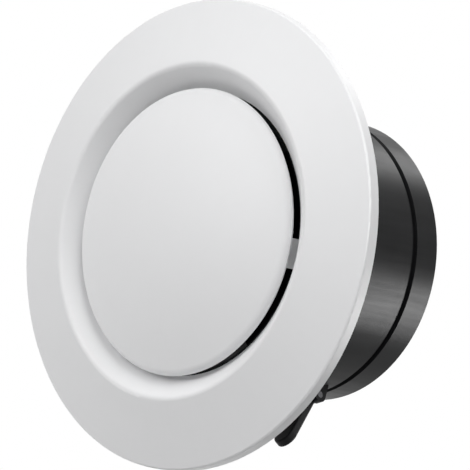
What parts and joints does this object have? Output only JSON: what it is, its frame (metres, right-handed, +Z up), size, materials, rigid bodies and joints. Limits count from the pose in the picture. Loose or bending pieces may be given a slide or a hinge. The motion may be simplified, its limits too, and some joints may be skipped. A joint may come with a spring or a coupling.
{
  "type": "ventilation disc valve",
  "caption": "Round air valve with a flared face ring, a centre disc that screws in and out on a bridge, and a duct collar held by sprung claws.",
  "frame": {"origin": "on the valve's axis, in the wall plane that the back of the face ring's rim and its gasket rest on", "axes": "+Y runs along the axis into the duct, the room is at -Y, and +Z is up with one bridge arm pointing at it"},
  "size_m": [0.16, 0.0826, 0.16],
  "materials": {
    "face_plastic": "smooth satin white moulding",
    "disc_plastic": "smooth satin white moulding",
    "bridge_plastic": "fine matt white moulding",
    "spindle_nylon": "natural turned nylon",
    "collar_plastic": "semi-matt black moulding",
    "claw_plastic": "semi-matt black moulding",
    "gasket_foam": "closed-cell foam with a fine grain",
    "ring_rubber": "dull black rubber",
    "brass": "turned brass",
    "steel": "zinc-plated steel",
    "spring_steel": "drawn spring wire"
  },
  "bodies": {
    "housing": {"face_ring": "face_plastic", "bridge": "bridge_plastic", "bridge_screws": "steel", "duct_collar": "collar_plastic", "collar_screws": "steel", "wall_gasket": "gasket_foam", "hub_bush": "brass", "friction_ring": "ring_rubber", "claw_pin_1": "steel", "claw_pin_2": "steel", "claw_spring_1": "spring_steel", "claw_spring_2": "spring_steel"},
    "stop": {"stop_washer": "steel"},
    "disc": {"centre_disc": "disc_plastic", "spindle": "spindle_nylon", "disc_screws": "steel", "tail_washer": "steel", "tail_screw": "steel"},
    "claw_1": {"claw_1": "claw_plastic"},
    "claw_2": {"claw_2": "claw_plastic"}
  },
  "joints": [
    {"name": "disc_travel", "type": "slide", "parent": "housing", "child": "stop", "axis": [0, -1, 0], "range_m": [-0.003, 0.014]},
    {"name": "disc_turn", "type": "hinge", "parent": "stop", "child": "disc", "pos_m": [0, 0, 0], "axis": [0, -1, 0], "range_deg": [-271, 1261]},
    {"name": "claw_1_fold", "type": "hinge", "parent": "housing", "child": "claw_1", "pos_m": [0.02131, 0.0455, -0.04787], "axis": [-0.9135, 0, -0.4067], "range_deg": [0, 50], "stiffness_Nm_per_rad": 0.02, "springref_deg": -34.38, "deforming": ["claw_spring_1"]},
    {"name": "claw_2_fold", "type": "hinge", "parent": "housing", "child": "claw_2", "pos_m": [-0.02131, 0.0455, 0.04787], "axis": [0.9135, 0, 0.4067], "range_deg": [0, 50], "stiffness_Nm_per_rad": 0.02, "springref_deg": -34.38, "deforming": ["claw_spring_2"]}
  ],
  "couplings": [
    {"joint": "disc_turn", "follows": "disc_travel", "rad_per_m": 1570.8}
  ]
}
